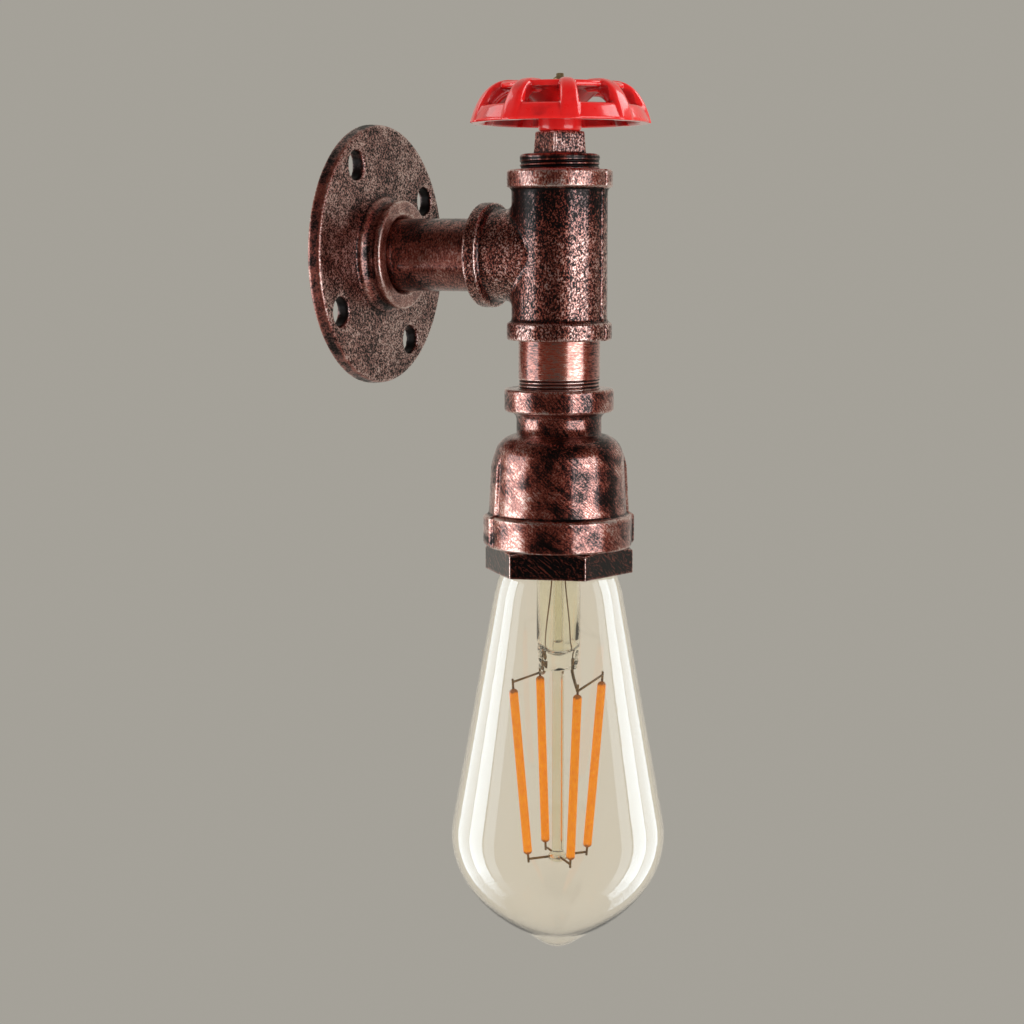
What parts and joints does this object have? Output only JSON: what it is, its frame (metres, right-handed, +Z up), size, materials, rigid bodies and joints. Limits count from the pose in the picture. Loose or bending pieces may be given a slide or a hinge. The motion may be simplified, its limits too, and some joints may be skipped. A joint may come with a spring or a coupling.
{
  "type": "pipe wall light",
  "caption": "Wall light of pipe fittings: round flange, short arm, tee with a turning handwheel, and a bell that holds a screw-in filament lamp.",
  "frame": {"origin": "middle of the flange's back face, on the wall", "axes": "+Z up along the stack, +Y into the wall, +X to the right seen from the room"},
  "size_m": [0.078, 0.094, 0.2607],
  "materials": {
    "cast_copper": "antique copper over black, cast grain, worn edges",
    "pipe_copper": "antique copper, brushed along the turning",
    "bell_copper": "antique copper over black, fine slanting scratches",
    "dark_bush": "black with bright copper edges",
    "red_enamel": "gloss enamel",
    "steel": "plain",
    "ceramic": "unglazed white ceramic",
    "brass": "plain",
    "brown_lead": "smooth",
    "blue_lead": "smooth",
    "block_plastic": "smooth",
    "lamp_glass": "clear with a faint amber tint",
    "stem_glass": "clear",
    "cap_metal": "satin",
    "black_glass": "gloss",
    "solder": "satin",
    "board": "matte",
    "lamp_wire": "drawn wire",
    "filament": "translucent phosphor coating"
  },
  "bodies": {
    "fixture": {"wall_flange": "cast_copper", "tee_fitting": "cast_copper", "top_plug": "cast_copper", "arm_pipe": "pipe_copper", "drop_pipe": "pipe_copper", "bell_reducer": "bell_copper", "hex_bush": "dark_bush", "handwheel_washer": "steel", "handwheel_nut": "steel", "handwheel_screw": "steel", "terminal_screws": "steel", "connector_screws": "steel", "lampholder_body": "ceramic", "lampholder_shell": "brass", "contact_tongue": "brass", "live_terminal": "brass", "neutral_terminal": "brass", "connector_tubes": "brass", "live_lead": "brown_lead", "neutral_lead": "blue_lead", "connector_block": "block_plastic"},
    "wheel": {"handwheel": "red_enamel"},
    "lamp_core": {"cap_contact": "solder"},
    "lamp": {"lamp_glass": "lamp_glass", "lamp_cap": "cap_metal", "cap_insulator": "black_glass", "driver_board": "board", "glass_stem": "stem_glass", "exhaust_tube": "stem_glass", "stem_rod": "stem_glass", "upper_leads": "lamp_wire", "lower_links": "lamp_wire", "filament_1": "filament", "filament_2": "filament", "filament_3": "filament", "filament_4": "filament"}
  },
  "joints": [
    {"name": "wheel_turn", "type": "hinge", "parent": "fixture", "child": "wheel", "pos_m": [0, -0.062, 0.04], "axis": [0, 0, 1], "continuous": true},
    {"name": "lamp_travel", "type": "slide", "parent": "fixture", "child": "lamp_core", "axis": [0, 0, -1], "range_m": [0, 0.01815]},
    {"name": "lamp_turn", "type": "hinge", "parent": "lamp_core", "child": "lamp", "pos_m": [0, -0.062, -0.08], "axis": [0, 0, -1], "range_deg": [0, 1800]}
  ],
  "couplings": [
    {"joint": "lamp_travel", "follows": "lamp_turn", "m_per_rad": 0.00057757}
  ]
}
